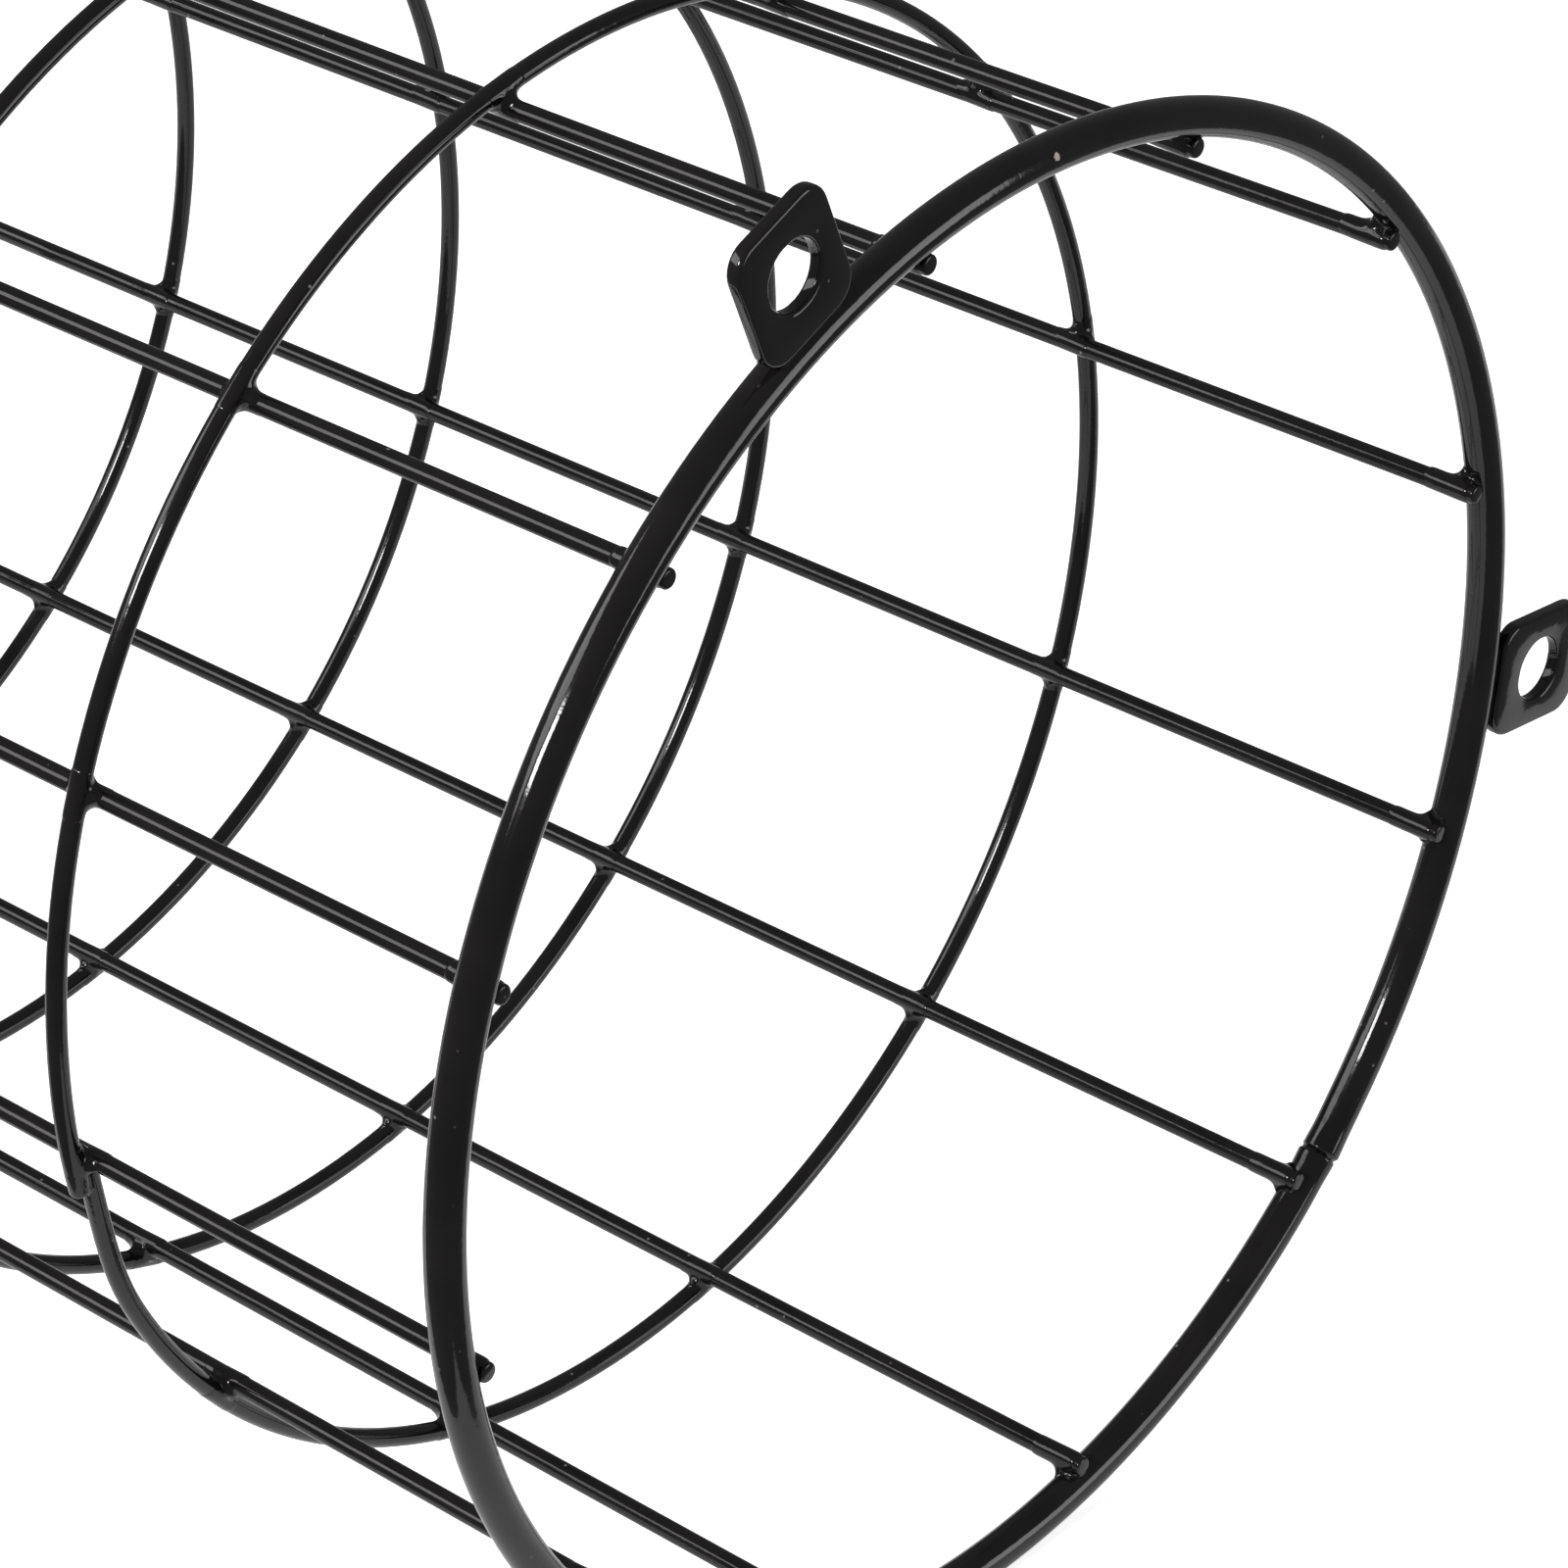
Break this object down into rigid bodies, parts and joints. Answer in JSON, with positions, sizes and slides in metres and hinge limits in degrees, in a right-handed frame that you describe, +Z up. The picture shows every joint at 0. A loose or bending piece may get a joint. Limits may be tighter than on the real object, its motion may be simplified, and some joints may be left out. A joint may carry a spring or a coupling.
{
  "type": "bulb cage guard",
  "caption": "Welded round-wire cage that guards a lamp bulb: open at a heavy base ring with drilled fixing tabs, closed where the side wires bend in to a small disc.",
  "frame": {"origin": "Centre of the fixing hole circle, in the plane of the tabs' front faces, which lie on the wall.", "axes": "+Y along the cage from the open base ring to the closed end; +Z up, as the guard stands out from a wall; +X to the right seen from the open end."},
  "size_m": [0.1303, 0.1729, 0.1266],
  "materials": {
    "black_powder_coat": "satin black powder coat over steel wire"
  },
  "bodies": {
    "root": {"base_ring": "black_powder_coat", "hoop_1": "black_powder_coat", "hoop_2": "black_powder_coat", "hoop_3": "black_powder_coat", "hoop_4": "black_powder_coat", "stay_wire_01": "black_powder_coat", "stay_wire_02": "black_powder_coat", "stay_wire_03": "black_powder_coat", "stay_wire_04": "black_powder_coat", "stay_wire_05": "black_powder_coat", "stay_wire_06": "black_powder_coat", "stay_wire_07": "black_powder_coat", "stay_wire_08": "black_powder_coat", "stay_wire_09": "black_powder_coat", "stay_wire_10": "black_powder_coat", "stay_wire_11": "black_powder_coat", "stay_wire_12": "black_powder_coat", "fixing_tab_1": "black_powder_coat", "fixing_tab_2": "black_powder_coat", "fixing_tab_3": "black_powder_coat", "end_disc": "black_powder_coat"}
  },
  "joints": []
}
